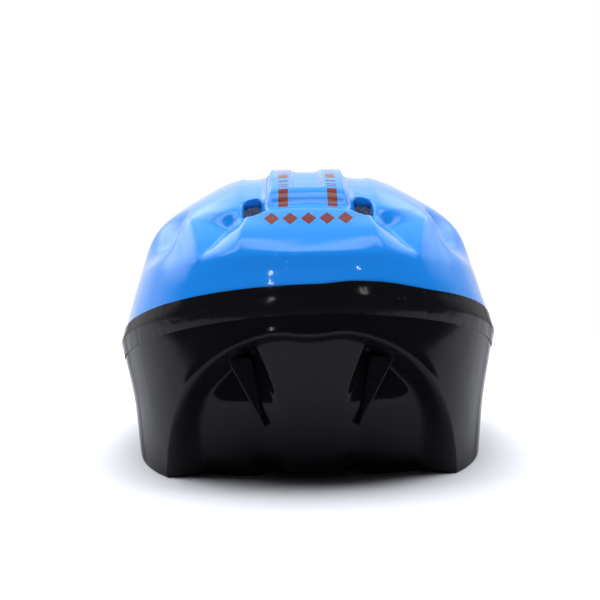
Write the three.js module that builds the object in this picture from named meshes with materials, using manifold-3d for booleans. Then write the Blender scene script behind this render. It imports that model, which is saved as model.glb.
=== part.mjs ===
// A child's skating helmet standing on its rim: a blue skin over a black skin, taped together round the
// seam, on a pale foam core that is hollow for the head. Millimetres, +Z up, the rear faces -Y.
import * as THREE from "three";
import { mergeVertices } from "three/addons/utils/BufferGeometryUtils.js";
import Module from "manifold-3d";

// Walls and gaps
const skinThickness = 1.0;
const tapeThickness = 0.5;
const pieceGap = 0.3;
const rimReveal = 0.3; // the foam stands this much lower than the black skin's edge

// Rings of the outer form from the rim to the crown: half lengths to the side, rear and front, the height
// of the ring at those places, and how square its outline is (2 is an ellipse). "up" runs along the wall.
const ringColumns = ["up", "side", "rear", "front", "sideZ", "rearZ", "frontZ", "square"];
const shellRings = tableOf(ringColumns, [
  [0, 87.3, 142, 122, 0, 0, 0, 2.55], // rim
  [25, 89.5, 136, 125, 23, 37, 27, 2.45], // skirt
  [46, 95, 133.2, 129.5, 43.5, 76, 53, 2.4], // tape foot
  [54, 98, 132.6, 133, 51, 83.5, 61, 2.4], // seam
  [63, 96, 131.6, 130.5, 59, 89, 69, 2.4], // tape head
  [82, 91, 130, 126.2, 75.5, 100, 86, 2.38], // band
  [87, 88.3, 128.4, 124.2, 83.5, 103.7, 91.5, 2.37], // brow
  [92, 86.3, 124.3, 121.2, 90.5, 107.4, 97.5, 2.36], // panel foot
  [112, 79, 103, 102, 109, 120, 113, 2.3], // shoulder
  [142, 57, 74, 73, 127, 130.5, 127.5, 2.2], // upper
  [171, 33, 41, 40, 138, 137.3, 136.3, 2], // cap
  [203, 0, 0, 0, 139, 139, 139, 2], // crown
]);
const seamUp = 54;
const tapeFootUp = 46;
const tapeHeadUp = 63;
const crownUp = 203;
const seamRidge = 0.7; // the skins stand out a little where they meet
const seamTilt = 0.014; // the seam runs lower on the left, by this slope

// Rings of the hollow for the head, from below the rim to its roof
const hollowRings = tableOf(ringColumns, [
  [0, 79, 99, 100, -6, -6, -6, 2.2], // below
  [20, 78.5, 98.5, 99.5, 14, 14, 14, 2.2], // mouth
  [56, 74.5, 94, 95, 50, 50, 50, 2.2], // brow
  [98, 57, 73, 73, 88, 88, 88, 2.1], // temple
  [136, 29, 38, 38, 110, 110, 110, 2], // vault
  [170, 0, 0, 0, 116, 116, 116, 2], // roof
]);

// Twin rails along the crown with a groove between them
const railHalf = 18.5;
const railHeight = 3.4;
const railEnd = 90;
const grooveHalf = 7;
const grooveDepth = 4.2;
const grooveMiddle = 1.2; // depth over the crown
const grooveEnd = 75;

// A shallow channel beside the rails on each side with a vent at its ends, and a dip behind each crest
const channelX = 26;
const channelHalf = 5.5;
const channelDepth = 1.2;
const crestY = 92;
const crestDip = 1.4;
const ventY = 86.5;
const ventWidth = 8.4;
const ventLength = 23;
const ventReach = 75;
const ventLean = 0.45;

// Ends of the upper half: a flat panel with raised edges, a wall that falls from each edge to a valley, and
// a floor that climbs from the valley to a ridge. Valley and ridge lean together and meet at the foot.
const panelTop = 28;
const panelFoot = 33.4;
const panelEdge = 2.2;
const valleyTop = 37;
const valleyFoot = 48.7;
const valleyDepth = 9;
const ridgeTop = 56;
const ridgeFoot = 49.2;
const ridgeHeight = 1;
const ridgeFall = 8;
const endLow = 88;
const endHigh = 112;

// A hollow on each flank behind that ridge, in degrees from the rear or front
const flankFoot = 31.5;
const flankTop = 43;
const flankValley = 47;
const flankOuter = 66;
const flankLow = 86;
const flankHigh = 127;
const flankDepth = 6.5;

// Arched recess in the rear of the black skin: a leaning, gently bowed back behind a short wall, with a
// rounded column in its middle and a pocket on each side that is deepest under the arch
const archHalf = 66;
const archHeight = 69;
const archSquare = 2.25;
const archDip = 2.5;
const archWall = 6;
const lipDepth = 3;
const backY = 127;
const backSlope = 0.19;
const backCurve = 20;
const columnHalf = 14;
const columnSpread = 0.18;
const columnHead = 63;
const columnHeight = 3.2;
const pocketX = 13;
const pocketLean = 0.43;
const pocketEnd = 52;
const pocketFoot = 27;
const pocketHead = 62;
const pocketDepth = 9;

// The rim lifts a little off the floor under the recess and curls inwards at each side of the column
const tongueHalf = 30;
const tongueLift = 2.4;
const curlX = 27;
const curlHalf = 8;
const curlDepth = 6;
const curlHead = 10;

// A fin in each pocket, from a broad end near the arch to a fine tip beside the column
const finTop = { x: 32.4, y: -117.5, z: 55.8, width: 11.7 };
const finTip = { x: 21.2, y: -120, z: 24.5, width: 1.2 };
const finBack = 9;

// Facets: azimuths of the columns over a quarter, in degrees from the rear, and the rings of the walls.
// Columns up to cornerDegrees carry on over the crown as straight lines that follow the rails.
const quarterColumns = [0, 3.3, 5.1, 10, 12.1, 15.2, 18.5, 21, 23.7, 27, 33, 40, 48, 57, 67, 78, 90];
const cornerDegrees = 27;
const straightX = 32;
const rimCount = 4 * (quarterColumns.length - 1);
const seamHalfGap = 0.35;
const ringSteps = [
  0, 7, 15, 23, 31, 37, 42, tapeFootUp, seamUp - seamHalfGap,
  seamUp + seamHalfGap, tapeHeadUp, 82, 87, 92, 98, 105, 111, 117,
];
const hollowColumns = 40;
const hollowSteps = [0, 20, 40, 60, 80, 100, 120, 140, 155, 170];

const wasm = await Module();
wasm.setup();

function tableOf(columns, rows) {
  return rows.map((row) => Object.fromEntries(columns.map((name, i) => [name, row[i]])));
}

// Zero below a, one above b and an even S between
function ramp(a, b, value) {
  return THREE.MathUtils.smoothstep(value, a, b);
}

// One within half of the middle and zero outside, with an edge of the given width
function plateau(offset, half, edge) {
  return 1 - ramp(half - edge / 2, half + edge / 2, Math.abs(offset));
}

function bell(offset, width) {
  return Math.exp(-((offset / width) ** 2));
}

// Ring sizes at any "up": a cubic through the rows, level at the crown because the far side mirrors it
function ringAt(rings, up) {
  const last = rings.length - 1;
  const next = Math.min(last, Math.max(1, rings.findIndex((row) => row.up >= up)));
  const a = rings[next - 1];
  const b = rings[next];
  const span = b.up - a.up;
  const t = (up - a.up) / span;
  const before = rings[Math.max(0, next - 2)];
  const after = rings[Math.min(last, next + 1)];
  const sizes = {};
  for (const key of ["side", "rear", "front", "sideZ", "rearZ", "frontZ", "square"]) {
    const slope = (b[key] - a[key]) / span;
    const slopeBefore = next > 1 ? (a[key] - before[key]) / (a.up - before.up) : slope;
    const mirrored = key.endsWith("Z") ? -slope : slope;
    const slopeAfter = next < last ? (after[key] - b[key]) / (after.up - b.up) : mirrored;
    const ma = (span * (slope + slopeBefore)) / 2;
    const mb = (span * (slope + slopeAfter)) / 2;
    const rise = b[key] - a[key];
    sizes[key] = a[key] + ma * t + (3 * rise - 2 * ma - mb) * t * t + (ma + mb - 2 * rise) * t * t * t;
  }
  return sizes;
}

// Point of the plain form at an azimuth from the rear: a superellipse in plan, its height eased round
function plainPoint(rings, azimuth, up) {
  const size = ringAt(rings, up);
  const s = Math.sin(azimuth);
  const c = Math.cos(azimuth);
  const length = c > 0 ? size.rear : size.front;
  const endZ = c > 0 ? size.rearZ : size.frontZ;
  const across = Math.abs(s / Math.max(size.side, 1e-6)) ** size.square;
  const along = Math.abs(c / Math.max(length, 1e-6)) ** size.square;
  const radius = (across + along) ** (-1 / size.square);
  return new THREE.Vector3(radius * s, -radius * c, size.sideZ * s * s + endZ * c * c);
}

// Outward direction of any surface of (azimuth, up), from its slopes
function outward(surface, azimuth, up) {
  const step = 0.002;
  const low = Math.max(0, up - 0.3);
  const high = Math.min(crownUp - 0.05, up + 0.3);
  const round = surface(azimuth + step, up).sub(surface(azimuth - step, up));
  const rise = surface(azimuth, high).sub(surface(azimuth, low));
  return round.cross(rise).normalize();
}

// Height of the rails, groove, channels and crest dips on the crown
function crownRelief(x, y) {
  const ends = Math.abs(y);
  const rails = plateau(x, railHalf, 3) * (1 - ramp(railEnd - 8, railEnd + 3, ends));
  const groove = plateau(x, grooveHalf, 3) * (1 - ramp(grooveEnd - 4, grooveEnd + 4, ends));
  const floor = THREE.MathUtils.lerp(grooveMiddle, grooveDepth, ramp(8, 50, ends));
  const channel = plateau(Math.abs(x) - channelX, channelHalf, 5) * (1 - ramp(86, 97, ends));
  const dip = plateau(x, 34, 8) * bell(ends - crestY, 4.5);
  return railHeight * rails - floor * groove - channelDepth * channel - crestDip * dip;
}

// Height of the panel, walls, valleys and ridges at the ends of the upper half
function endRelief(x, up) {
  const { lerp, clamp } = THREE.MathUtils;
  const rise = clamp((up - endLow) / (endHigh - endLow), 0, 1);
  const edge = lerp(panelFoot, panelTop, rise);
  const valley = lerp(valleyFoot, valleyTop, rise);
  const ridge = lerp(ridgeFoot, ridgeTop, rise);
  const drop = valleyDepth * rise;
  const raised = panelEdge * (1 - ramp(98, 111, up));
  const across = Math.abs(x);
  let height = ridgeHeight * Math.max(0, 1 - (across - ridge) / ridgeFall);
  if (across < ridge) height = lerp(-drop, ridgeHeight, (across - valley) / (ridge - valley));
  if (across < valley) height = lerp(raised, -drop, (across - edge) / (valley - edge));
  if (across < edge) height = raised * (across / edge) ** 2;
  return height * ramp(82, 95, up) * (1 - ramp(108, 120, up));
}

// Depth of the hollows on the flanks
function flankRelief(azimuth, up) {
  const turn = Math.atan2(Math.abs(Math.sin(azimuth)), Math.abs(Math.cos(azimuth)));
  const degrees = THREE.MathUtils.radToDeg(turn);
  const rise = THREE.MathUtils.clamp((up - flankLow) / (flankHigh - flankLow), 0, 1);
  const inner = THREE.MathUtils.lerp(flankFoot, flankTop, rise);
  const toInner = (degrees - inner) / (flankValley - inner);
  const toOuter = (flankOuter - degrees) / (flankOuter - flankValley);
  const share = THREE.MathUtils.clamp(Math.min(toInner, toOuter), 0, 1);
  return -flankDepth * share * ramp(0, 0.45, rise) * (1 - ramp(0.68, 1, rise));
}

// Depth of the arched recess at the rear
function recessRelief(x, y, z) {
  if (y > -40) return 0;
  const across = (Math.abs(x) / archHalf) ** archSquare;
  const rising = (Math.max(0, z + archDip * bell(x, 12)) / archHeight) ** archSquare;
  const inside = (1 - (across + rising) ** (1 / archSquare)) * archHeight;
  const back = backY - backSlope * (archHeight - z) - backCurve * (x / archHalf) ** 2;
  const column = columnHeight * plateau(x, columnHalf + columnSpread * Math.max(0, columnHead - z), 22);
  const edge = pocketX + pocketLean * (z - pocketFoot);
  const fromColumn = ramp(edge - 1.5, edge + 2.5, Math.abs(x));
  const fromSide = 1 - ramp(pocketEnd - 7, pocketEnd + 4, Math.abs(x));
  const scoop = ramp(pocketFoot, pocketHead, z) * ramp(3, 13, inside);
  const pocket = pocketDepth * fromColumn * fromSide * scoop;
  const curl = curlDepth * plateau(Math.abs(x) - curlX, curlHalf, 13) * (1 - ramp(0, curlHead, z));
  const depth = Math.max(-y - back, lipDepth) - column + pocket + curl;
  return -depth * ramp(0, archWall, inside);
}

// How far the rim stands off the floor at the rear
function rimLift(x, y) {
  return y > -40 ? 0 : tongueLift * plateau(x, tongueHalf, 20);
}

// Outer face of the helmet at an azimuth and "up"
function outerFace(azimuth, up) {
  const plain = plainPoint(shellRings, azimuth, up);
  const normal = outward((a, u) => plainPoint(shellRings, a, u), azimuth, up);
  const { x, y, z } = plain;
  let relief = seamRidge * bell(up - seamUp, 2) * (0.25 + 0.75 * Math.sin(azimuth) ** 2);
  if (up > tapeHeadUp) {
    relief += crownRelief(x, y) * ramp(104, 112, up) + endRelief(x, up) + flankRelief(azimuth, up);
  }
  if (up < tapeFootUp) {
    normal.setZ(0).normalize();
    relief += recessRelief(x, y, z);
    plain.z += rimLift(x, y) * (1 - ramp(0, 26, up));
  }
  plain.addScaledVector(normal, relief);
  plain.z += seamTilt * plain.x * ramp(25, 48, up) * (1 - ramp(60, 84, up));
  return plain;
}

// Azimuths of the columns in order, from the rear round the right side and the front
function columnAzimuths() {
  const half = [...quarterColumns, ...quarterColumns.map((degrees) => 180 - degrees).reverse().slice(1)];
  const full = [...half, ...half.map((degrees) => 360 - degrees).reverse().slice(1, -1)];
  return full.map(THREE.MathUtils.degToRad);
}

// The "up" at which the plain form stands over a place in plan, found by halving
function upOver(x, y) {
  const azimuth = Math.atan2(x, -y);
  let low = tapeHeadUp;
  let high = crownUp;
  for (let i = 0; i < 40; i++) {
    const middle = (low + high) / 2;
    const point = plainPoint(shellRings, azimuth, middle);
    if (Math.hypot(point.x, point.y) > Math.hypot(x, y)) low = middle;
    else high = middle;
  }
  return (low + high) / 2;
}

// Facets of the outer face: rings up to the crown's edge, then lines that run straight over the crown
function outerSheet() {
  const azimuths = columnAzimuths();
  const count = azimuths.length;
  const points = ringSteps.flatMap((up) => azimuths.map((azimuth) => outerFace(azimuth, up)));
  const faces = [];
  const quad = (a, b, c, d, up) => {
    const onRight = points[a].x + points[c].x > 0;
    const split = onRight ? [[a, b, d], [b, c, d]] : [[a, b, c], [a, c, d]];
    split.forEach((corners) => faces.push({ up, corners }));
  };
  for (let r = 0; r + 1 < ringSteps.length; r++) {
    for (let i = 0; i < count; i++) {
      const j = (i + 1) % count;
      quad(r * count + i, r * count + j, (r + 1) * count + j, (r + 1) * count + i, ringSteps[r]);
    }
  }
  const edgeUp = ringSteps.at(-1);
  const edge = azimuths.map((azimuth) => plainPoint(shellRings, azimuth, edgeUp));
  const edgeStart = (ringSteps.length - 1) * count;
  const corner = quarterColumns.indexOf(cornerDegrees);
  const wide = 2 * corner;
  const long = count / 2 - wide;
  const rearOf = (i) => (i - corner + count) % count;
  const frontOf = (i) => count / 2 + corner - i;
  const rightOf = (j) => corner + j;
  const leftOf = (j) => (count - corner - j) % count;
  const index = [];
  for (let j = 0; j <= long; j++) {
    const right = edge[rightOf(j)];
    const share = (right.y - edge[rightOf(0)].y) / (edge[rightOf(long)].y - edge[rightOf(0)].y);
    index.push([]);
    for (let i = 0; i <= wide; i++) {
      const onEdge =
        j === 0 ? rearOf(i) : j === long ? frontOf(i) : i === 0 ? leftOf(j) : i === wide ? rightOf(j) : -1;
      if (onEdge >= 0) {
        index[j].push(edgeStart + onEdge);
        continue;
      }
      const rear = edge[rearOf(i)];
      const front = edge[frontOf(i)];
      const cornerX = edge[rightOf(0)].x;
      const spread = Math.max(0, (Math.abs(rear.x) - straightX) / (cornerX - straightX));
      const x = rear.x + Math.sign(rear.x) * spread * (right.x - cornerX);
      const y = THREE.MathUtils.lerp(rear.y, front.y, share);
      index[j].push(points.length);
      points.push(outerFace(Math.atan2(x, -y), upOver(x, y)));
    }
  }
  for (let j = 0; j < long; j++) {
    for (let i = 0; i < wide; i++) {
      quad(index[j][i], index[j][i + 1], index[j + 1][i + 1], index[j + 1][i], edgeUp);
    }
  }
  return { points, faces };
}

// For each point, the inward step that sets every facet round it back by at least one millimetre
function inwardSteps({ points, faces }) {
  const around = points.map(() => []);
  for (const { corners } of faces) {
    const [a, b, c] = corners.map((corner) => points[corner]);
    const normal = b.clone().sub(a).cross(c.clone().sub(a)).normalize();
    corners.forEach((corner) => around[corner].push(normal));
  }
  return around.map((normals, i) => {
    const mean = normals.reduce((sum, normal) => sum.add(normal), new THREE.Vector3()).normalize();
    const least = Math.min(...normals.map((normal) => normal.dot(mean)));
    const step = mean.multiplyScalar(-1 / Math.max(least, 0.35));
    return i < rimCount ? step.setZ(0) : step;
  });
}

const sheet = outerSheet();
const inward = inwardSteps(sheet);

function solidOf(points, faces) {
  const vertProperties = new Float32Array(points.flatMap((point) => [point.x, point.y, point.z]));
  const triVerts = new Uint32Array(faces.flat());
  return new wasm.Manifold(new wasm.Mesh({ numProp: 3, vertProperties, triVerts }));
}

// Points of the sheet set back by a depth, with the rim's own ring lifted
function sheetPoints(depth, lift) {
  const moved = sheet.points.map((point, i) => point.clone().addScaledVector(inward[i], depth));
  moved.slice(0, rimCount).forEach((point) => point.setZ(point.z + lift));
  return moved;
}

function facesBetween(fromUp, toUp) {
  return sheet.faces.filter((face) => face.up >= fromUp && face.up < toUp).map((face) => face.corners);
}

// Edges that only one of the facets has, in that facet's direction
function openEdges(faces) {
  const edges = new Map();
  for (const [a, b, c] of faces) {
    for (const [from, to] of [[a, b], [b, c], [c, a]]) {
      if (!edges.delete(to + " " + from)) edges.set(from + " " + to, [from, to]);
    }
  }
  return [...edges.values()];
}

// Leaves out the points that no facet uses
function packed(points, faces) {
  const used = [...new Set(faces.flat())];
  const place = new Map(used.map((corner, i) => [corner, i]));
  return solidOf(used.map((corner) => points[corner]), faces.map((face) => face.map((i) => place.get(i))));
}

// Wall between two depths under the outer face
function wallOf(fromUp, toUp, outerDepth, innerDepth) {
  const outer = facesBetween(fromUp, toUp);
  const count = sheet.points.length;
  const inner = outer.map(([a, b, c]) => [c + count, b + count, a + count]);
  const sides = openEdges(outer).flatMap(([a, b]) => [[b, a, a + count], [b, a + count, b + count]]);
  const points = [...sheetPoints(outerDepth, rimReveal), ...sheetPoints(innerDepth, rimReveal)];
  return packed(points, [...outer, ...inner, ...sides]);
}

// Full body under the outer face, closed across the rim
function coreOf(depth) {
  const faces = facesBetween(0, crownUp);
  const middle = sheet.points.length;
  const cap = openEdges(faces).map(([a, b]) => [b, a, middle]);
  return solidOf([...sheetPoints(depth, 0), new THREE.Vector3(0, 0, 0)], [...faces, ...cap]);
}

function hollowBody() {
  const turns = Array.from({ length: hollowColumns }, (_, i) => (i / hollowColumns) * 2 * Math.PI);
  const rows = hollowSteps.slice(0, -1);
  const points = rows.flatMap((up) => turns.map((turn) => plainPoint(hollowRings, turn, up)));
  const floor = points.push(new THREE.Vector3(0, 0, hollowRings[0].sideZ)) - 1;
  const roof = points.push(new THREE.Vector3(0, 0, hollowRings.at(-1).sideZ)) - 1;
  const faces = [];
  for (let i = 0; i < hollowColumns; i++) {
    const j = (i + 1) % hollowColumns;
    const top = (rows.length - 1) * hollowColumns;
    faces.push([j, i, floor], [top + i, top + j, roof]);
    for (let r = 0; r + 1 < rows.length; r++) {
      const low = r * hollowColumns;
      const high = low + hollowColumns;
      faces.push([low + i, low + j, high + j], [low + i, high + j, high + i]);
    }
  }
  return solidOf(points, faces);
}

function solidFrom(geometry) {
  geometry.deleteAttribute("normal");
  geometry.deleteAttribute("uv");
  const merged = mergeVertices(geometry, 1e-4);
  const vertProperties = merged.attributes.position.array;
  const triVerts = new Uint32Array(merged.index.array);
  return new wasm.Manifold(new wasm.Mesh({ numProp: 3, vertProperties, triVerts }));
}

function meshOf(name, solid, material) {
  const data = solid.getMesh();
  const geometry = new THREE.BufferGeometry();
  geometry.setAttribute("position", new THREE.BufferAttribute(data.vertProperties, 3));
  geometry.setIndex(new THREE.BufferAttribute(data.triVerts, 1));
  geometry.computeVertexNormals();
  const mesh = new THREE.Mesh(geometry, new THREE.MeshStandardMaterial(material));
  mesh.name = name;
  return mesh;
}

// Slot that passes from above a channel's end, leaning inwards, to the hollow
function ventBody(sideSign, endSign) {
  const half = ventWidth / 2;
  const straight = (ventLength - ventWidth) / 2;
  const slot = new THREE.Shape();
  slot.absarc(0, straight, half, 0, Math.PI, false);
  slot.absarc(0, -straight, half, Math.PI, 2 * Math.PI, false);
  const shape = { depth: ventReach, bevelEnabled: false, curveSegments: 5 };
  const geometry = new THREE.ExtrudeGeometry(slot, shape);
  geometry.translate(0, 0, 12 - ventReach);
  geometry.rotateX(ventLean * -endSign);
  const top = plainPoint(shellRings, Math.atan2(channelX, ventY), 118).z;
  geometry.translate(sideSign * channelX, endSign * ventY, top);
  return solidFrom(geometry);
}

// Fin as a bar that narrows from its top to its tip, with its back inside the recess's wall
function finBody(sign) {
  const geometry = new THREE.BoxGeometry(1, 1, 1);
  const corners = geometry.attributes.position;
  for (let i = 0; i < corners.count; i++) {
    const end = corners.getZ(i) > 0 ? finTop : finTip;
    const x = end.x + corners.getX(i) * end.width;
    const y = corners.getY(i) < 0 ? end.y : end.y + finBack;
    corners.setXYZ(i, x, y, end.z);
  }
  if (sign < 0) {
    geometry.scale(-1, 1, 1);
    geometry.index.array.reverse();
  }
  return solidFrom(geometry);
}

function topShell(vents) {
  const skin = wallOf(seamUp + seamHalfGap, crownUp, 0, skinThickness);
  const cut = vents.reduce((solid, vent) => solid.subtract(vent), skin);
  return meshOf("top_shell", cut, { color: 0x2b86ee, roughness: 0.15, metalness: 0 });
}

function lowerShell() {
  const skin = wallOf(0, seamUp - seamHalfGap, 0, skinThickness);
  const inside = coreOf(skinThickness / 2);
  const joined = [-1, 1].reduce((solid, sign) => solid.add(finBody(sign).subtract(inside)), skin);
  return meshOf("lower_shell", joined, { color: 0x0c0c0e, roughness: 0.2, metalness: 0 });
}

function seamTape() {
  const band = wallOf(tapeFootUp, tapeHeadUp, -pieceGap - tapeThickness, -pieceGap);
  return meshOf("seam_tape", band, { color: 0x08080a, roughness: 0.25, metalness: 0 });
}

function foamLiner(vents) {
  const core = coreOf(skinThickness + pieceGap);
  const cut = vents.reduce((solid, vent) => solid.subtract(vent), core.subtract(hollowBody()));
  return meshOf("foam_liner", cut, { color: 0xe9e9e6, roughness: 0.85, metalness: 0 });
}

const vents = [-1, 1].flatMap((side) => [-1, 1].map((end) => ventBody(side, end)));
const helmet = new THREE.Group();
helmet.add(topShell(vents), lowerShell(), seamTape(), foamLiner(vents));

export default helmet;
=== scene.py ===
import math

import bpy
import numpy as np
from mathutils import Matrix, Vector


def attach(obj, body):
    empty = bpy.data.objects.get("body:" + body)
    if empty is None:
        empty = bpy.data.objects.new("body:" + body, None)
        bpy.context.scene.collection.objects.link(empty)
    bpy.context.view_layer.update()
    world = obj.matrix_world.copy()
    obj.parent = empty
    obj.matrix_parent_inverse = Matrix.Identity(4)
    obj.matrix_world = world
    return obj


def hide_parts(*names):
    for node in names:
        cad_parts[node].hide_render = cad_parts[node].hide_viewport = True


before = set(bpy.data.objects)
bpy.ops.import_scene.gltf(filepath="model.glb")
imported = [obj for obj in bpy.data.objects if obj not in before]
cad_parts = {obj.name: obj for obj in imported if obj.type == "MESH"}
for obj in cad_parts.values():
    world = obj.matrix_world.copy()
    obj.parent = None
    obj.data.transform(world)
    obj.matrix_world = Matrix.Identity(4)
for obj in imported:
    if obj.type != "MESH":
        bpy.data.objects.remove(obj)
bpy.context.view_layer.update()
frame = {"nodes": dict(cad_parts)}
mm = 0.001
tiny = 1e-6  # keeps divisions and comparisons off zero
scene = bpy.context.scene
print("frame loaded:", ", ".join(frame["nodes"]))


def addObject(name, data):  # a new object in the scene, at the origin
    thing = bpy.data.objects.new(name, data)
    scene.collection.objects.link(thing)
    return thing


def pointAt(thing, place, aim):  # stands it at the place, its own -Z along the line to the aim
    thing.location = place
    thing.rotation_euler = (Vector(aim) - Vector(place)).to_track_quat("-Z", "Y").to_euler()


# camera at the photo's place: behind the helmet, a little left of its middle, just under its crown's height
cameraSetup = {
    "eye": (-0.0085, -0.648, 0.122),
    "aim": (-0.0036, 0.0, 0.0722),
    "rollDegrees": -0.8,
    "lens": 71.6,
    "sensor": 36,
    "nearest": 0.01,
}


def makeCamera():
    data = bpy.data.cameras.new("photoCamera")
    data.sensor_width = cameraSetup["sensor"]
    data.lens = cameraSetup["lens"]
    data.clip_start = cameraSetup["nearest"]
    camera = addObject("photoCamera", data)
    pointAt(camera, cameraSetup["eye"], cameraSetup["aim"])
    camera.rotation_euler.rotate_axis("Z", math.radians(cameraSetup["rollDegrees"]))
    scene.camera = camera


makeCamera()
print("camera placed")

# rings of the outer form from the rim to the crown, in millimetres: up along the wall, half lengths to the
# side, rear and front, heights there, and how square the outline is (2 is an ellipse)
outerRings = {
    "rim": (0, 88, 142, 122, 0, 0, 0, 2.55),
    "skirt": (25, 91.4, 136, 125, 23, 37, 27, 2.45),
    "tapeFoot": (46, 96, 133.2, 129.5, 43.5, 76, 53, 2.4),
    "seam": (54, 96.8, 132.6, 133, 51, 83.5, 61, 2.4),
    "tapeHead": (63, 94.8, 131.6, 130.5, 59, 89, 69, 2.4),
    "band": (82, 90, 130.2, 126.2, 75.5, 99.4, 86, 2.38),
    "brow": (86, 88.2, 129, 124.6, 82, 102.4, 90.5, 2.37),
    "panelFoot": (90, 86.6, 125.3, 122.3, 88, 105.7, 95.5, 2.36),
    "shoulder": (112, 79, 103, 102, 109, 120, 113, 2.3),
    "upper": (142, 57, 74, 73, 127, 130.5, 127.5, 2.2),
    "cap": (171, 33, 41, 40, 138, 137.3, 136.3, 2),
    "crown": (203, 0, 0, 0, 139, 139, 139, 2),
}
ringUp = {name: row[0] for name, row in outerRings.items()}
skins = {
    "thickness": 0.8,
    "seamGap": 0.15,   # from the seam to the edge of each skin
    "rimReveal": 0.3,  # the foam stands this much lower than the black edge
}


def ramp(a, b, value):  # zero below a, one above b, an even S between
    t = np.clip((value - a) / (b - a), 0, 1)
    return t * t * (3 - 2 * t)


def between(a, b, share):  # straight from a to b
    return a + (b - a) * share


def plateau(offset, half, edge):  # one within half of the middle, zero outside, eased over the edge's width
    return 1 - ramp(half - edge / 2, half + edge / 2, np.abs(offset))


def bell(offset, width):  # e to the minus square of the offset over the width
    return np.exp(-((offset / width) ** 2))


def unit(vectors):  # each vector over its length
    return vectors / np.maximum(np.linalg.norm(vectors, axis=-1, keepdims=True), tiny)


# a cubic through the rows of a ring table, its slope at a row the mean of the slopes beside it; past the top
# the far side mirrors this one, so the half lengths keep their slope and the heights turn theirs round
def ringSizes(rings, up):
    table = np.array(list(rings.values()), float)
    knots, sizes = table[:, 0], table[:, 1:]
    slopes = np.diff(sizes, axis=0) / np.diff(knots)[:, None]
    mirrored = slopes[-1:] * np.array([1, 1, 1, -1, -1, -1, 1])
    tangents = (np.vstack([slopes[:1], slopes]) + np.vstack([slopes, mirrored])) / 2
    low = np.clip(np.searchsorted(knots, up, side="right") - 1, 0, len(knots) - 2)
    span = np.diff(knots)[low]
    t = ((up - knots[low]) / span)[..., None]
    a, rise = sizes[low], sizes[low + 1] - sizes[low]
    ma, mb = tangents[low] * span[..., None], tangents[low + 1] * span[..., None]
    return a + ma * t + (3 * rise - 2 * ma - mb) * t**2 + (ma + mb - 2 * rise) * t**3


# superellipse in plan at an azimuth from the rear, its height eased from the side's to the end's
def plainForm(rings, azimuth, up):
    side, rear, front, sideZ, rearZ, frontZ, square = np.moveaxis(ringSizes(rings, up), -1, 0)
    s, c = np.sin(azimuth), np.cos(azimuth)
    length = np.maximum(np.where(c > 0, rear, front), tiny)
    endZ = np.where(c > 0, rearZ, frontZ)
    across = (np.abs(s) / np.maximum(side, tiny)) ** square
    lengthwise = (np.abs(c) / length) ** square
    radius = (across + lengthwise) ** (-1 / square)
    return np.stack([radius * s, -radius * c, sideZ * s * s + endZ * c * c], -1)


def outerPlain(azimuth, up):  # the plain form of the helmet's own rings
    return plainForm(outerRings, azimuth, up)


slopeStep = {"round": 0.002, "up": 0.25, "least": 0.2, "belowCrown": 0.05}


# unit outward direction of a surface of (azimuth, up): the cross product of its slopes round and up, each
# taken over a small step
def outward(surface, azimuth, up):
    low = np.maximum(up - slopeStep["up"], 0)
    high = np.minimum(up + slopeStep["up"], ringUp["crown"] - slopeStep["belowCrown"])
    low = np.minimum(low, high - slopeStep["least"])
    roundStep = surface(azimuth + slopeStep["round"], up) - surface(azimuth - slopeStep["round"], up)
    rise = surface(azimuth, high) - surface(azimuth, low)
    return unit(np.cross(roundStep, rise))


# two rails along the crown with a groove between them, a channel and two vents beside each, and a dip behind
# the crest; a pair of values is where an ease begins and ends
crownShape = {
    "fadeIn": (104, 112),
    "railHalf": 18.5, "railHeight": 3.4, "railEdge": 3, "railEnd": (80, 94),
    "grooveHalf": 7, "grooveEdge": 2.6, "grooveEnd": (71, 79),
    "grooveMiddle": 1.2, "grooveDepth": 4.2, "grooveFall": (8, 50),
    "channelX": 26, "channelHalf": 5.5, "channelDepth": 1.2, "channelEdge": 5, "channelEnd": (86, 97),
    "dipHalf": 34, "dipEdge": 8, "dipDepth": 1.4, "dipY": 92, "dipWidth": 4.5,
    "ventY": 86.5, "ventUp": 118, "ventWidth": 8.4, "ventLength": 23, "ventLean": 0.45, "ventFlange": 4.5,
    "wellDepth": 4.5, "wellEdge": (-1, 2.4), "wellFrom": (76, 85),
}


# a vent slot's own axes at the rear (-1) or front (1): along its length, and straight out of the helmet
def slotAxes(endSign):
    sine, cosine = np.sin(crownShape["ventLean"]), np.cos(crownShape["ventLean"])
    zero = 0 * endSign
    along = np.stack([zero, cosine + zero, -endSign * sine], -1)
    axis = np.stack([zero, endSign * sine, cosine + zero], -1)
    return along, axis


# middle of a slot's mouth: its place in plan, at the height that the plain form has at the vents' up
def slotMiddle(sideSign, endSign):
    x, y = crownShape["channelX"], crownShape["ventY"]
    seat = outerPlain(np.array(math.atan2(x, y)), np.array(crownShape["ventUp"], float))[2]
    return np.stack([sideSign * x, endSign * y, 0 * endSign + seat], -1)


# signed distance from a point to the edge of the nearest slot, in the slot's leaning plane, and the direction
# in which it grows; a slot is all that lies within half its width of a straight line
def ventDistance(points):
    shape = crownShape
    sideSign = np.where(points[..., 0] >= 0, 1.0, -1.0)
    endSign = np.where(points[..., 1] >= 0, 1.0, -1.0)
    along, _ = slotAxes(endSign)
    away = points - slotMiddle(sideSign, endSign)
    u, v = away[..., 0], (away * along).sum(-1)
    straight = (shape["ventLength"] - shape["ventWidth"]) / 2
    over = v - np.clip(v, -straight, straight)
    reach = np.maximum(np.hypot(u, over), tiny)
    direction = along * over[..., None]
    direction[..., 0] += u
    return reach - shape["ventWidth"] / 2, direction / reach[..., None]


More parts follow.
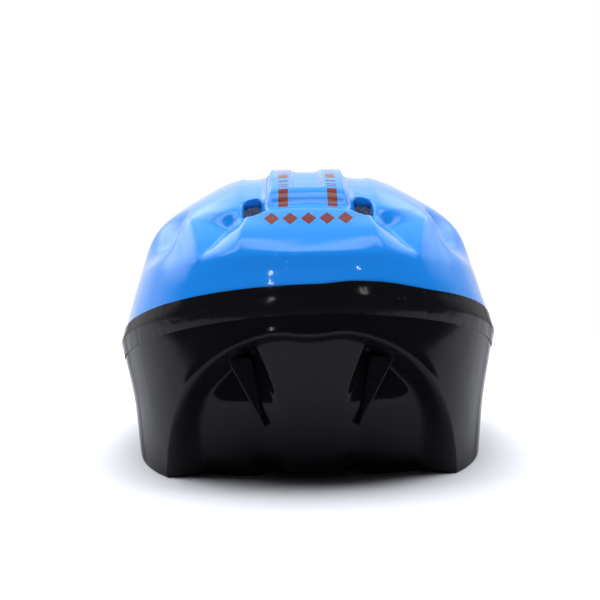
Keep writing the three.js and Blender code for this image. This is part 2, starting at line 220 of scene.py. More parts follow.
# rails stand up and the groove, channels, vent wells and dip go down, each a plateau across x that is eased
# at its ends
def crownRelief(points):
    shape = crownShape
    x, ends = points[..., 0], np.abs(points[..., 1])
    rails = plateau(x, shape["railHalf"], shape["railEdge"]) * (1 - ramp(*shape["railEnd"], ends))
    groove = plateau(x, shape["grooveHalf"], shape["grooveEdge"]) * (1 - ramp(*shape["grooveEnd"], ends))
    floor = between(shape["grooveMiddle"], shape["grooveDepth"], ramp(*shape["grooveFall"], ends))
    channel = plateau(np.abs(x) - shape["channelX"], shape["channelHalf"], shape["channelEdge"])
    channel = shape["channelDepth"] * channel * (1 - ramp(*shape["channelEnd"], ends))
    distance, _ = ventDistance(points)
    well = shape["wellDepth"] * (1 - ramp(*shape["wellEdge"], distance)) * ramp(*shape["wellFrom"], ends)
    dip = plateau(x, shape["dipHalf"], shape["dipEdge"]) * bell(ends - shape["dipY"], shape["dipWidth"])
    return shape["railHeight"] * rails - floor * groove - np.maximum(channel, well) - shape["dipDepth"] * dip


# at each end a flat panel with raised edges, a wall that falls from each edge to a valley, and a floor that
# climbs from the valley to a ridge; valley and ridge lean towards each other and meet at the foot
endShape = {
    "low": 88, "high": 112, "fadeIn": (82, 95), "fadeOut": (108, 120), "softening": (-0.5, 0, 0.5),
    "panelFoot": 31.5, "panelTop": 28, "panelEdge": 2.2, "panelFade": (98, 111),
    "valleyFoot": 48.7, "valleyTop": 37, "valleyDepth": 6, "valleyPower": 0.7,
    "ridgeFoot": 49.2, "ridgeTop": 56, "ridgeHeight": 1.5, "ridgeFall": 7,
}


# piecewise straight in x, its corners moving with up, the mean of a few side shifts to soften the corners,
# faded out at the brow and at the crest
def endRelief(x, up):
    shape = endShape
    rise = np.clip((up - shape["low"]) / (shape["high"] - shape["low"]), 0, 1)
    edge = between(shape["panelFoot"], shape["panelTop"], rise)
    valley = between(shape["valleyFoot"], shape["valleyTop"], rise)
    ridge = between(shape["ridgeFoot"], shape["ridgeTop"], rise)
    drop = shape["valleyDepth"] * rise ** shape["valleyPower"]
    raised = shape["panelEdge"] * (1 - ramp(*shape["panelFade"], up))
    total = np.zeros(np.broadcast(x, up).shape)
    for shift in shape["softening"]:
        a = np.abs(x + shift)
        panel = raised * (a / edge) ** 2
        wall = between(raised, -drop, (a - edge) / (valley - edge))
        floor = between(-drop, shape["ridgeHeight"], (a - valley) / (ridge - valley))
        rib = shape["ridgeHeight"] * np.maximum(0, 1 - (a - ridge) / shape["ridgeFall"])
        total += np.select([a < edge, a < valley, a < ridge], [panel, wall, floor], rib)
    return total / len(shape["softening"]) * ramp(*shape["fadeIn"], up) * (1 - ramp(*shape["fadeOut"], up))


# a hollow on each flank behind the rib: degrees from the rear or front of its inner edge at the foot and at
# the top, of its valley and of its outer edge, then its span in up and its depth; the crease is the part of
# its fall that is straight
flankShape = {
    "innerFoot": 31.5, "innerTop": 43, "valley": 47, "outer": 66,
    "low": 86, "high": 127, "depth": 6.5, "crease": 0.6, "begin": (0, 0.45), "end": (0.68, 1.0),
}


# falls from both edges to the valley, partly straight and partly as an S, eased at its foot and its top
def flankRelief(azimuth, up):
    shape = flankShape
    degrees = np.abs(np.degrees(np.arctan2(np.sin(azimuth), np.abs(np.cos(azimuth)))))
    rise = np.clip((up - shape["low"]) / (shape["high"] - shape["low"]), 0, 1)
    inner = between(shape["innerFoot"], shape["innerTop"], rise)
    fromInner = (degrees - inner) / (shape["valley"] - inner)
    fromOuter = (shape["outer"] - degrees) / (shape["outer"] - shape["valley"])
    share = np.clip(np.where(degrees < shape["valley"], fromInner, fromOuter), 0, 1)
    fall = between(ramp(0, 1, share), share, shape["crease"])
    return -shape["depth"] * fall * ramp(*shape["begin"], rise) * (1 - ramp(*shape["end"], rise))


# a low ridge along the sides of the seam, and a slight tilt of seam and tape from left to right
seamShape = {"ridge": 0.5, "ridgeWidth": 2, "tilt": 0.014, "tiltBegin": (25, 48), "tiltEnd": (60, 84)}

# the arched recess at the rear, with a column in its middle, a pocket on each side and a curled, lifted foot
undercut = {
    "half": 66, "height": 69, "square": 2.25, "dip": 2.5, "dipWidth": 12, "wall": 3.2, "lipDepth": 3,
    "bead": 0.25, "beadOutside": 1.5, "beadWidth": 1.6, "beadFrom": (30, 55),
    "back": 127, "backSlope": 0.19, "backCurve": 20,
    "columnHalf": 14, "columnSpread": 0.18, "columnHead": 63, "columnHeight": 3.2, "columnEdge": 22,
    "pocketX": 16.5, "pocketLean": 0.43, "pocketEdge": (-2, 3.5), "pocketEnd": (47, 58), "pocketDepth": 9,
    "pocketFoot": 35, "pocketHead": 58, "pocketSoftening": (-2.5, 0, 2.5), "pocketLip": (0.5, 4),
    "curlX": 27, "curlHalf": 8, "curlDepth": 4, "curlHead": 10, "curlEdge": 13,
    "liftHalf": 30, "liftEdge": 20, "liftHeight": 2.4, "liftHead": 26,
    "rearY": -40,  # the recess shapes only what lies behind this
}


# distance inside the arch, a superellipse with a dip at its crown, in millimetres
def archInside(x, z):
    shape = undercut
    across = (np.abs(x) / shape["half"]) ** shape["square"]
    lowered = np.maximum(0, z + shape["dip"] * bell(x, shape["dipWidth"]))
    rising = (lowered / shape["height"]) ** shape["square"]
    return (1 - (across + rising) ** (1 / shape["square"])) * shape["height"]


# the back of the recess is a leaning, gently bowed sheet with a rounded column in its middle, a pocket on
# each side and a curl inwards at its foot; it starts from a short wall along the arch, whose edge has a bead
def undercutRelief(points):
    shape = undercut
    x, y, z = np.moveaxis(points, -1, 0)
    aside = np.abs(x)
    inside = archInside(x, z)
    bow = shape["backCurve"] * (x / shape["half"]) ** 2
    sheet = shape["back"] - shape["backSlope"] * (shape["height"] - z) - bow
    columnHalf = shape["columnHalf"] + shape["columnSpread"] * np.maximum(0, shape["columnHead"] - z)
    column = shape["columnHeight"] * plateau(x, columnHalf, shape["columnEdge"])
    edge = shape["pocketX"] + shape["pocketLean"] * (z - shape["pocketFoot"])
    pocket = ramp(*shape["pocketEdge"], aside - edge) * (1 - ramp(*shape["pocketEnd"], aside))
    climb = (z - shape["pocketFoot"]) / (shape["pocketHead"] - shape["pocketFoot"])
    soft = np.array(shape["pocketSoftening"]) / (shape["pocketHead"] - shape["pocketFoot"])
    scoop = np.clip(climb[..., None] + soft, 0, 1).mean(-1)
    pocket = shape["pocketDepth"] * pocket * scoop * ramp(*shape["pocketLip"], inside)
    curl = plateau(aside - shape["curlX"], shape["curlHalf"], shape["curlEdge"])
    curl = shape["curlDepth"] * curl * (1 - ramp(0, shape["curlHead"], z))
    deep = np.maximum(-y - sheet, shape["lipDepth"]) - column + pocket + curl
    deep = deep * ramp(0, shape["wall"], inside)
    bead = bell(inside + shape["beadOutside"], shape["beadWidth"])
    bead = shape["bead"] * bead * ramp(*shape["beadFrom"], z)
    return np.where(y > shape["rearY"], 0, bead - deep)


# the rim stands a little off the floor under the recess: a plateau across x that fades out upwards
def rimLift(points, up):
    shape = undercut
    x, y = points[..., 0], points[..., 1]
    lift = plateau(x, shape["liftHalf"], shape["liftEdge"]) * (1 - ramp(0, shape["liftHead"], up))
    return np.where(y > shape["rearY"], 0, shape["liftHeight"] * lift)


# the helmet's outer face: the plain form, moved by the reliefs along its outward direction, which is kept
# level below the tape, then lifted at the rear and tilted at the seam
def outerFace(azimuth, up):
    azimuth, up = np.broadcast_arrays(np.asarray(azimuth, float), np.asarray(up, float))
    plain = outerPlain(azimuth, up)
    normal = outward(outerPlain, azimuth, up)
    lower = up < ringUp["tapeFoot"]
    normal = np.where(lower[..., None], unit(normal * np.array([1, 1, 0])), normal)
    upper = crownRelief(plain) * ramp(*crownShape["fadeIn"], up)
    upper = upper + endRelief(plain[..., 0], up) + flankRelief(azimuth, up)
    relief = np.where(up > ringUp["tapeHead"], upper, np.where(lower, undercutRelief(plain), 0))
    ridge = seamShape["ridge"] * bell(up - ringUp["seam"], seamShape["ridgeWidth"])
    relief = relief + ridge * np.sin(azimuth) ** 2
    face = plain + normal * relief[..., None]
    tilt = seamShape["tilt"] * ramp(*seamShape["tiltBegin"], up) * (1 - ramp(*seamShape["tiltEnd"], up))
    face[..., 2] += np.where(lower, rimLift(plain, up), 0) + tilt * face[..., 0]
    return face


def crowdedTurn(count, crowding):  # azimuths round the form, closer together at the rear
    turn = np.arange(count) / count * 2 * np.pi - np.pi
    return turn - crowding * np.sin(turn)


def rowsThrough(stops, counts):  # values through the stops, each stretch divided evenly into its count
    parts = [np.linspace(a, b, count + 1)[:-1] for a, b, count in zip(stops, stops[1:], counts)]
    return np.append(np.concatenate(parts), stops[-1])


def gridFaces(rows, columns):  # quads of a grid of points whose columns close on themselves
    index = np.arange(rows * columns).reshape(rows, columns)
    beside = np.roll(index, -1, 1)
    return np.stack([index[:-1], beside[:-1], beside[1:], index[1:]], -1).reshape(-1, 4)


def poleFan(row, pole):  # triangles from a closed row of points to a pole
    return np.stack([row, np.roll(row, -1), np.full(len(row), pole)], -1)


def tubeFaces(rows, columns):  # a grid whose first and last rows are closed by one face each
    first, last = range(columns), range((rows - 1) * columns, rows * columns)
    return gridFaces(rows, columns).tolist() + [list(first)[::-1], list(last)]


def makePiece(name, points, faces, material=None, smooth=True):  # points in millimetres, faces as lists
    mesh = bpy.data.meshes.new(name)
    mesh.from_pydata((points.reshape(-1, 3) * mm).tolist(), [], faces)
    mesh.validate()
    mesh.polygons.foreach_set("use_smooth", np.full(len(mesh.polygons), smooth))
    if material:
        mesh.materials.append(material)
    return addObject(name, mesh)


def applyModifiers(piece):  # the mesh that the modifiers give takes the place of the piece's own
    graph = bpy.context.evaluated_depsgraph_get()
    mesh = bpy.data.meshes.new_from_object(piece.evaluated_get(graph))
    old = piece.data
    piece.modifiers.clear()
    piece.data = mesh
    bpy.data.meshes.remove(old)


def thicken(piece, thickness, offset=-1):  # a wall on the inner side, or with an offset of 1 on the outer
    wall = piece.modifiers.new("wall", "SOLIDIFY")
    wall.thickness = thickness * mm
    wall.offset = offset
    wall.use_even_offset = False
    applyModifiers(piece)


def settle(piece, node):  # rides on the one body and stands for its node, which is hidden
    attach(piece, "root")
    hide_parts(node)


def newMaterial(name):
    material = bpy.data.materials.new(name)
    material.use_nodes = True
    return material


def principled(material):
    return material.node_tree.nodes["Principled BSDF"]


def setInputs(node, values):
    for name, value in values.items():
        node.inputs[name].default_value = value


def mathNode(tree, operation, a, b=None, c=None):  # each operand is a number or another node's output
    node = tree.nodes.new("ShaderNodeMath")
    node.operation = operation
    for socket, value in zip(node.inputs, (a, b, c)):
        if isinstance(value, (int, float)):
            socket.default_value = value
        elif value is not None:
            tree.links.new(value, socket)
    return node.outputs[0]


def mixColour(tree, factor, a, b):  # sockets 6 and 7 are the node's two colours, and output 2 is the mix
    node = tree.nodes.new("ShaderNodeMix")
    node.data_type = "RGBA"
    for socket, value in zip((node.inputs[0], node.inputs[6], node.inputs[7]), (factor, a, b)):
        if isinstance(value, (tuple, float, int)):
            socket.default_value = value
        else:
            tree.links.new(value, socket)
    return node.outputs[2]


def objectPlace(tree):  # the piece's own coordinates
    return tree.nodes.new("ShaderNodeTexCoord").outputs["Object"]


def textureNode(tree, kind, place, values):
    node = tree.nodes.new(kind)
    setInputs(node, values)
    tree.links.new(place, node.inputs["Vector"])
    return node


def newGroup(name, inputs, outputs):  # shader group with number sockets, the inputs with their usual values
    group = bpy.data.node_groups.new(name, "ShaderNodeTree")
    for socket, value in inputs.items():
        made = group.interface.new_socket(socket, in_out="INPUT", socket_type="NodeSocketFloat")
        made.default_value = value
    for socket in outputs:
        group.interface.new_socket(socket, in_out="OUTPUT", socket_type="NodeSocketFloat")
    given, result = group.nodes.new("NodeGroupInput"), group.nodes.new("NodeGroupOutput")
    return group, given.outputs, result.inputs


sheetPattern = {
    "usual": {"Ripple Scale": 40.0, "Ripple Height": 0.5, "Peel": 0.1, "Rough": 0.1, "Haze": 0.05},
    "ripple": {"Detail": 1.0},
    "peel": {"Scale": 700.0},
    "haze": {"Scale": 26.0, "Detail": 6.0, "Roughness": 0.7},
    "rubbedLimit": 0.75, "rubbedSoftness": 0.1,
}


# shared finish of formed sheet and tape: slow ripples and fine peel as a height, and hazy, lightly rubbed
# patches as a roughness
def makeSheetFinish():
    pattern = sheetPattern
    group, given, result = newGroup("sheetFinish", pattern["usual"], ("Height", "Roughness"))
    place = objectPlace(group)
    ripple = textureNode(group, "ShaderNodeTexNoise", place, pattern["ripple"])
    group.links.new(given["Ripple Scale"], ripple.inputs["Scale"])
    peel = textureNode(group, "ShaderNodeTexNoise", place, pattern["peel"])
    haze = textureNode(group, "ShaderNodeTexNoise", place, pattern["haze"])
    slow = mathNode(group, "MULTIPLY", ripple.outputs["Fac"], given["Ripple Height"])
    height = mathNode(group, "MULTIPLY_ADD", peel.outputs["Fac"], given["Peel"], slow)
    group.links.new(height, result["Height"])
    limit, softness = pattern["rubbedLimit"], pattern["rubbedSoftness"]
    rubbed = mathNode(group, "SMOOTH_MIN", haze.outputs["Fac"], limit, softness)
    rough = mathNode(group, "MULTIPLY_ADD", rubbed, given["Haze"], given["Rough"])
    group.links.new(rough, result["Roughness"])
    return group


dustPattern = {
    "usual": {"Amount": 0.3},
    "specks": {"Scale": 420.0}, "speckSize": 0.14,
    "patches": {"Scale": 60.0}, "patchLevel": 0.6,
}


# shared fine dust: sparse pale specks as a mask, the middles of cells inside a few patches
def makeDustSpecks():
    pattern = dustPattern
    group, given, result = newGroup("dustSpecks", pattern["usual"], ("Mask",))
    place = objectPlace(group)
    specks = textureNode(group, "ShaderNodeTexVoronoi", place, pattern["specks"])
    patches = textureNode(group, "ShaderNodeTexNoise", place, pattern["patches"])
    near = mathNode(group, "LESS_THAN", specks.outputs["Distance"], pattern["speckSize"])
    where = mathNode(group, "GREATER_THAN", patches.outputs["Fac"], pattern["patchLevel"])
    mask = mathNode(group, "MULTIPLY", mathNode(group, "MULTIPLY", near, where), given["Amount"])
    group.links.new(mask, result["Mask"])
    return group


sheetFinish = makeSheetFinish()
dustSpecks = makeDustSpecks()
print("shared finishes made")


def addBump(material, height, values):  # bends the shader's normal by a height
    tree = material.node_tree
    bump = tree.nodes.new("ShaderNodeBump")
    setInputs(bump, values)
    tree.links.new(height, bump.inputs["Height"])
    tree.links.new(bump.outputs["Normal"], principled(material).inputs["Normal"])
    return bump


def addSheet(material, finish):  # the shared sheet finish, with the material's own values
    tree = material.node_tree
    sheet = tree.nodes.new("ShaderNodeGroup")
    sheet.node_tree = sheetFinish
    setInputs(sheet, finish["sheet"])
    addBump(material, sheet.outputs["Height"], finish["bump"])
    tree.links.new(sheet.outputs["Roughness"], principled(material).inputs["Roughness"])


def addDust(material, colour, finish):  # the base colour, dotted with the shared dust
    tree = material.node_tree
    specks = tree.nodes.new("ShaderNodeGroup")
    specks.node_tree = dustSpecks
    specks.inputs["Amount"].default_value = finish["dust"]
    dusty = mixColour(tree, specks.outputs["Mask"], colour, finish["dustColour"])
    tree.links.new(dusty, principled(material).inputs["Base Color"])


dulling = {"blend": 0.5, "begin": 0.35, "end": 0.85}


# gloss that dulls where the surface turns away from the eye
def addDulling(material, finish):
    tree = material.node_tree
    weight = tree.nodes.new("ShaderNodeLayerWeight")
    weight.inputs["Blend"].default_value = dulling["blend"]
    level = tree.nodes.new("ShaderNodeMapRange")
    setInputs(level, {"From Min": dulling["begin"], "From Max": dulling["end"]})
    setInputs(level, {"To Min": finish["gloss"], "To Max": finish["turnedGloss"]})
    tree.links.new(weight.outputs["Facing"], level.inputs["Value"])
    gloss = principled(material).inputs["Specular IOR Level"]
    # what the exported model keeps
    gloss.default_value = finish["gloss"]  # the socket's own value under its link, the level where it faces the eye
    tree.links.new(level.outputs["Result"], gloss)


# places and sizes of the print in millimetres; a pair is a mark's middle and half length along the repeat
blueFinish = {
    "blue": (0.015, 0.265, 0.88, 1), "drawnBlue": (0.018, 0.285, 0.9, 1),
    "print": (0.16, 0.018, 0.014, 1), "printDark": (0.04, 0.008, 0.012, 1),
    "stripeX": 11.5, "stripeHalf": 2.3, "stripeEnd": 94.0, "stripeZ": 121.5, "stripeRepeat": 31.0,
    "block": (5.5, 5.5), "bars": ((14.5, 0.8), (18.0, 0.8), (24.5, 1.4)),
    "lozengeY": -80.0, "lozengeZ": 117.5, "lozengeStep": 8.4, "lozengeSpan": 21.0,
    "lozengeHalfWidth": 3.6, "lozengeHalfHeight": 2.7,
    "dust": 0.25, "dustColour": (0.55, 0.66, 0.8, 1),
    "sheet": {"Ripple Scale": 55.0, "Ripple Height": 0.6, "Peel": 0.02, "Rough": 0.05, "Haze": 0.06},
    "bump": {"Strength": 0.55, "Distance": 0.0012},
    "gloss": 0.3,
}


# blue sheet, a little lighter where it is drawn deep, with a red-brown dash line on each rail and a row of
# plain lozenges under the crest
def makeBlueMaterial():
    finish = blueFinish
    material = newMaterial("blueSheet")
    tree = material.node_tree

    def times(a, b):
        return mathNode(tree, "MULTIPLY", a, b)

    def size(value):
        return mathNode(tree, "ABSOLUTE", value)

    def near(value, middle, half):  # one within half of the middle, zero outside
        return mathNode(tree, "COMPARE", value, middle, half)

    place = tree.nodes.new("ShaderNodeSeparateXYZ")
    tree.links.new(objectPlace(tree), place.inputs[0])
    x, y, z = [times(place.outputs[axis], 1 / mm) for axis in "XYZ"]
    onRail = times(near(size(x), finish["stripeX"], finish["stripeHalf"]), near(y, 0.0, finish["stripeEnd"]))
    onRail = times(onRail, mathNode(tree, "GREATER_THAN", z, finish["stripeZ"]))
    step = mathNode(tree, "WRAP", y, finish["stripeRepeat"], 0.0)
    block = near(step, *finish["block"])
    bars = 0.0
    for bar in finish["bars"]:
        bars = mathNode(tree, "MAXIMUM", bars, near(step, *bar))
    inRow = mathNode(tree, "WRAP", x, finish["lozengeStep"] / 2, -finish["lozengeStep"] / 2)
    across = mathNode(tree, "DIVIDE", size(inRow), finish["lozengeHalfWidth"])
    above = mathNode(tree, "SUBTRACT", z, finish["lozengeZ"])
    above = mathNode(tree, "DIVIDE", size(above), finish["lozengeHalfHeight"])
    lozenge = mathNode(tree, "LESS_THAN", mathNode(tree, "ADD", across, above), 1.0)
    lozenge = times(lozenge, near(x, 0.0, finish["lozengeSpan"]))
    lozenge = times(lozenge, mathNode(tree, "LESS_THAN", y, finish["lozengeY"]))
    drawn = tree.nodes.new("ShaderNodeAttribute")
    drawn.attribute_name = "drawn"
    colour = mixColour(tree, drawn.outputs["Fac"], finish["blue"], finish["drawnBlue"])
    colour = mixColour(tree, times(onRail, bars), colour, finish["printDark"])
    red = mathNode(tree, "MAXIMUM", times(onRail, block), lozenge)
    colour = mixColour(tree, red, colour, finish["print"])
    addDust(material, colour, finish)
    addSheet(material, finish)
    principled(material).inputs["Specular IOR Level"].default_value = finish["gloss"]
    return material


blackFinish = {
    "colour": (0.0065, 0.0065, 0.0085, 1), "dust": 0.12, "dustColour": (0.12, 0.13, 0.15, 1),
    "sheet": {"Ripple Scale": 45.0, "Ripple Height": 0.6, "Peel": 0.02, "Rough": 0.06, "Haze": 0.08},
    "bump": {"Strength": 0.35, "Distance": 0.0012},
    "gloss": 0.12, "turnedGloss": 0.002,
}
tapeFinish = {
    "colour": (0.0095, 0.0095, 0.012, 1), "dust": 0.35, "dustColour": (0.16, 0.16, 0.17, 1),
    "sheet": {"Ripple Scale": 160.0, "Ripple Height": 0.5, "Peel": 0.05, "Rough": 0.08, "Haze": 0.1},
    "bump": {"Strength": 0.5, "Distance": 0.0006},
    "gloss": 0.13, "turnedGloss": 0.002,
}


def makeBlackMaterial(name, finish):  # glossy black sheet or tape
    material = newMaterial(name)
    addDust(material, finish["colour"], finish)
    addSheet(material, finish)
    addDulling(material, finish)
    return material


foamFinish = {
    "pale": (0.8, 0.8, 0.79, 1), "grey": (0.66, 0.67, 0.67, 1), "jointColour": (0.42, 0.43, 0.43, 1),
    "beads": {"Scale": 300.0}, "jointSteepness": 7.0, "greyShare": 0.35, "jointShare": 0.5,
    "bump": {"Strength": 0.6, "Distance": 0.0006},
    "surface": {"Roughness": 0.8, "Specular IOR Level": 0.25},
}


# pale expanded foam: rounded beads from a cell pattern, each its own tint, a little darker in the joints
def makeFoamMaterial():
    finish = foamFinish
    material = newMaterial("paleFoam")
    tree, shader = material.node_tree, principled(material)
    place = objectPlace(tree)
    cells = textureNode(tree, "ShaderNodeTexVoronoi", place, finish["beads"])
    cells.feature = "DISTANCE_TO_EDGE"
    tint = textureNode(tree, "ShaderNodeTexVoronoi", place, finish["beads"])
    inward = mathNode(tree, "MULTIPLY", cells.outputs["Distance"], finish["jointSteepness"])
    joint = mathNode(tree, "MAXIMUM", mathNode(tree, "SUBTRACT", 1.0, inward), 0.0)
    shade = tree.nodes.new("ShaderNodeSeparateColor")
    tree.links.new(tint.outputs["Color"], shade.inputs[0])
    greyness = mathNode(tree, "MULTIPLY", shade.outputs[0], finish["greyShare"])
    colour = mixColour(tree, greyness, finish["pale"], finish["grey"])
    darkness = mathNode(tree, "MULTIPLY", joint, finish["jointShare"])
    colour = mixColour(tree, darkness, colour, finish["jointColour"])
    tree.links.new(colour, shader.inputs["Base Color"])
    addBump(material, joint, finish["bump"]).invert = True
    setInputs(shader, finish["surface"])
    return material


topSkin = {
    "columns": 440, "crowding": 0.35, "rowStops": (84, 124), "rowCounts": (13, 39, 45),
    "lastRow": 1.2, "roof": 0.3,  # how far below the crown's up the last row and the pole are taken
    "drawnDepth": 8,              # relief at which the sheet counts as fully drawn
    "slotSnap": 0.75,             # points this near a slot, or inside it, move to its edge
}


# a short wall down each vent: the edges that bound a slot, carried down along the slot's leaning axis
def addFlange(quads, points, drawn, distance):
    edges = np.stack([quads, np.roll(quads, -1, 1)], -1).reshape(-1, 2)
    _, place, count = np.unique(np.sort(edges, 1), axis=0, return_inverse=True, return_counts=True)
    rim = edges[(count[place.ravel()] == 1) & (distance[edges] <= tiny).all(1)]
    lips = np.unique(rim)
    _, axis = slotAxes(np.sign(points[lips, 1]))
    sunk = np.searchsorted(lips, rim) + len(points)
    wall = np.stack([rim[:, 1], rim[:, 0], sunk[:, 0], sunk[:, 1]], -1)
    points = np.vstack([points, points[lips] - crownShape["ventFlange"] * axis])
    return np.vstack([quads, wall]), points, np.append(drawn, np.ones(len(lips)))


# upper skin: the outer face from the seam to the crown, its vent slots cut out, then given its thickness
def makeTopShell():
    crown, snap = ringUp["crown"], topSkin["slotSnap"]
    stops = (ringUp["seam"] + skins["seamGap"], *topSkin["rowStops"], crown - topSkin["lastRow"])
    steps = rowsThrough(stops, topSkin["rowCounts"])
    azimuth = crowdedTurn(topSkin["columns"], topSkin["crowding"])
    up, turn = np.meshgrid(steps, azimuth, indexing="ij")
    face = outerFace(turn, up)
    depth = np.linalg.norm(face - outerPlain(turn, up), axis=-1)
    drawn = np.clip(depth / topSkin["drawnDepth"], 0, 1)
    distance, direction = ventDistance(face)
    within = distance < snap
    face = np.where(within[..., None], face - direction * distance[..., None], face)
    distance = np.where(within, np.minimum(distance + snap, 0), distance).ravel()
    roof = outerFace(np.array([0.0]), np.array([crown - topSkin["roof"]]))
    roof[:, :2] = 0
    points = np.vstack([face.reshape(-1, 3), roof])
    rows, columns = up.shape
    quads = gridFaces(rows, columns)
    quads = quads[(distance[quads] > tiny).any(1)]
    fan = poleFan(np.arange((rows - 1) * columns, rows * columns), rows * columns)
    quads, points, drawn = addFlange(quads, points, np.append(drawn.ravel(), 0), distance)
    used, place = np.unique(np.concatenate([quads.ravel(), fan.ravel()]), return_inverse=True)
    quads, fan = place[:quads.size].reshape(-1, 4), place[quads.size:].reshape(-1, 3)
    piece = makePiece("topShellSkin", points[used], quads.tolist() + fan.tolist(), makeBlueMaterial())
    layer = piece.data.attributes.new("drawn", "FLOAT", "POINT")
    layer.data.foreach_set("value", drawn[used].astype(np.float32))
    thicken(piece, skins["thickness"])
    settle(piece, "top_shell")
    return piece


topShell = makeTopShell()
print("top shell:", len(topShell.data.polygons), "faces")

lowerSkin = {"columns": 560, "crowding": 0.68, "rowCounts": (75, 8)}
finBar = {
    "top": (32.4, -117.5, 55.8), "tip": (21.2, -120, 24.5), "topWidth": 11.7, "tipWidth": 0.6,
    "back": 9.0, "flare": 0.8,         # how deep it reaches, and how much wider it is there
    "round": 0.9, "roundShare": 0.8,   # corner radius, and its most as a share of half the width
    "stations": 24, "cornerPoints": 8,
}


# fin: a profile with a flat front, two rounded corners and a wider back inside the wall, carried down a
# straight path and narrowed evenly on the way
def finPoints(sign):
    shape = finBar
    t = np.linspace(0, 1, shape["stations"])[:, None]
    middle = between(np.array(shape["top"], float), np.array(shape["tip"], float), t)
    half = between(shape["topWidth"], shape["tipWidth"], t) / 2
    soft = np.minimum(shape["round"], half * shape["roundShare"])
    arc = np.linspace(0, np.pi / 2, shape["cornerPoints"])
    cornerX, cornerY = np.cos(arc)[None, :] - 1, 1 - np.sin(arc)[None, :]
    right = np.stack([half + soft * cornerX, soft * cornerY], -1)
    left = right[:, ::-1] * np.array([-1, 1])
    flare = half + shape["flare"]
    back = np.stack([np.hstack([-flare, flare]), np.full((len(t), 2), shape["back"])], -1)
    ring = np.concatenate([right, left, back], 1)
    points = np.repeat(middle[:, None], ring.shape[1], 1)
    points[..., :2] += ring
    points[..., 0] *= sign
    return points if sign < 0 else points[:, ::-1]


# lower skin: the outer face from the rim to the seam, with the two fins standing in its recess
def makeLowerShell():
    steps = rowsThrough((0, ringUp["tapeFoot"], ringUp["seam"] - skins["seamGap"]), lowerSkin["rowCounts"])
    azimuth = crowdedTurn(lowerSkin["columns"], lowerSkin["crowding"])
    up, turn = np.meshgrid(steps, azimuth, indexing="ij")
    face = outerFace(turn, up)
    face[0, :, 2] += skins["rimReveal"]
    material = makeBlackMaterial("blackSheet", blackFinish)
    piece = makePiece("lowerShellSkin", face, gridFaces(*up.shape).tolist(), material)
    thicken(piece, skins["thickness"])
    bars = [finPoints(sign) for sign in (-1, 1)]
    fins = [makePiece("fin", bar, tubeFaces(*bar.shape[:2]), material) for bar in bars]
    with bpy.context.temp_override(active_object=piece, selected_editable_objects=[piece, *fins]):
        bpy.ops.object.join()
    settle(piece, "lower_shell")
    return piece


lowerShell = makeLowerShell()
print("lower shell:", len(lowerShell.data.polygons), "faces")

# a wave is its rate along the azimuth, its start and, for the wander, its part; the skew and the tuck begin
# and end at shares of the strip's length or width
tapeBand = {
    "columns": 900, "rows": 15, "thickness": 0.2, "lift": 0.15, "sharpAngle": 0.7,
    "startDegrees": 3.0, "overlapDegrees": 21.0, "overlapBegin": (358, 366), "overlapLift": 1.15,
    "tilt": 1.3, "wander": 0.35, "waves": ((3.1, 0.6, 1.0), (7.3, 2.0, 0.6)),
    "footTilt": 0.4, "footWander": 0.6, "footSkew": 0.4, "headSkew": 2.6, "skewEnd": (0.97, 1),
    "wrinkle": 0.12, "wrinkleWaves": ((61, 1.3), (13, 0), (97, 0)), "wrinkleFine": 0.5, "wrinklePower": 4,
    "tuck": 0.32, "tuckRear": (0.3, 0.9), "tuckFoot": (0, 0.12), "tuckEnd": (0.996, 1),
}


# tape: a strip laid on the outer face along the seam for one turn and a little more, so that its end lies on
# its start; its edges wander slowly and lift in small wrinkles, and its foot and its end are pressed down
def makeTape():
    shape = tapeBand
    along = np.linspace(0, 1, shape["columns"])
    turned = along * (360 + shape["overlapDegrees"])
    azimuth = np.radians(shape["startDegrees"] + turned)
    share = np.linspace(0, 1, shape["rows"])
    past = ramp(*shape["overlapBegin"], turned)
    waves = sum(part * np.sin(rate * azimuth + start) for rate, start, part in shape["waves"])
    wander = shape["wander"] * waves
    tilt = shape["tilt"] * np.sin(azimuth)
    foot = ringUp["tapeFoot"] + shape["footTilt"] * tilt + shape["footWander"] * wander
    foot = foot + shape["footSkew"] * past
    head = ringUp["tapeHead"] + tilt + wander
    head = head + shape["headSkew"] * past * (1 - ramp(*shape["skewEnd"], along))
    up = between(foot[None, :], head[None, :], share[:, None])
    turn = np.broadcast_to(azimuth[None, :], up.shape)
    edge = np.abs(share - 0.5)[:, None] * 2
    quick, slow, fine = [np.sin(rate * azimuth + start) for rate, start in shape["wrinkleWaves"]]
    wrinkle = shape["wrinkle"] * edge ** shape["wrinklePower"] * (quick * slow + shape["wrinkleFine"] * fine)
    pressed = ramp(*shape["tuckRear"], np.cos(azimuth)) * (1 - ramp(*shape["tuckFoot"], share))[:, None]
    pressed = shape["tuck"] * (pressed + ramp(*shape["tuckEnd"], along) * past)
    height = shape["lift"] + shape["thickness"] * shape["overlapLift"] * past + np.abs(wrinkle) - pressed
    points = outerFace(turn, up) + outward(outerFace, turn, up) * height[..., None]
    index = np.arange(up.size).reshape(up.shape)
    quads = np.stack([index[:-1, :-1], index[:-1, 1:], index[1:, 1:], index[1:, :-1]], -1).reshape(-1, 4)
    piece = makePiece("seamTapeBand", points, quads.tolist(), makeBlackMaterial("blackTape", tapeFinish))
    thicken(piece, shape["thickness"], 1)
    piece.data.set_sharp_from_angle(angle=shape["sharpAngle"])
    settle(piece, "seam_tape")
    return piece


seamTape = makeTape()
print("tape:", len(seamTape.data.polygons), "faces")

